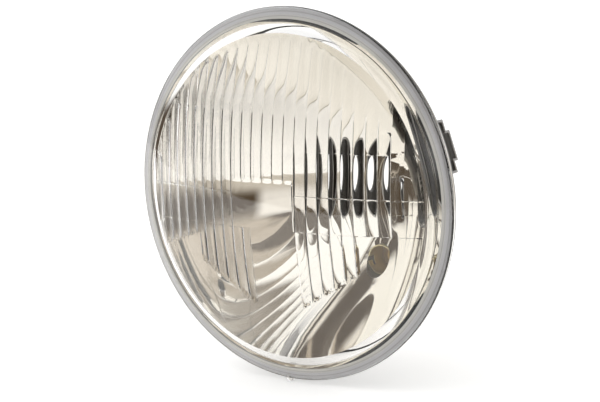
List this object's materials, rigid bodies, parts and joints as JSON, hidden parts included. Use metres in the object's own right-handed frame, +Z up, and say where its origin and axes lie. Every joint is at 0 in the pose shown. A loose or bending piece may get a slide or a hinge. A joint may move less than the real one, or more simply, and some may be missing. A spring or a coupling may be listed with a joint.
{
  "type": "headlight insert",
  "caption": "Round glass headlight insert: a fluted domed lens sealed to a parabolic reflector, with locating lugs, bulb seat, rubber boot and parking lamp holder.",
  "frame": {"origin": "centre of the reflector flange's rear face, on the lamp's axis", "axes": "the lens faces -Y, +Y runs back along the lamp's axis, +Z is up as fitted, +X is right seen from the front"},
  "size_m": [0.178, 0.0951, 0.1795],
  "materials": {
    "glass": "clear pressed glass",
    "sealant": "matt sealant",
    "mirror_metal": "mirrored inside",
    "lug_steel": "zinc plated",
    "seat_steel": "zinc plated",
    "boot_rubber": "matt moulded rubber",
    "yellow_metal": "yellow passivated",
    "insulator": "pressed board",
    "contact_brass": "plain brass"
  },
  "bodies": {
    "root": {"lens": "glass", "lens_seal": "sealant", "reflector": "mirror_metal", "locating_lug_right": "lug_steel", "locating_lug_upper_left": "lug_steel", "locating_lug_lower_left": "lug_steel", "bulb_seat_ring": "seat_steel", "bulb_clip": "seat_steel", "clip_hinge_bracket": "seat_steel", "clip_latch_hook": "seat_steel", "rubber_boot": "boot_rubber", "parking_lamp_holder": "yellow_metal", "parking_lamp_insulator": "insulator", "parking_lamp_contact": "contact_brass"}
  },
  "joints": []
}
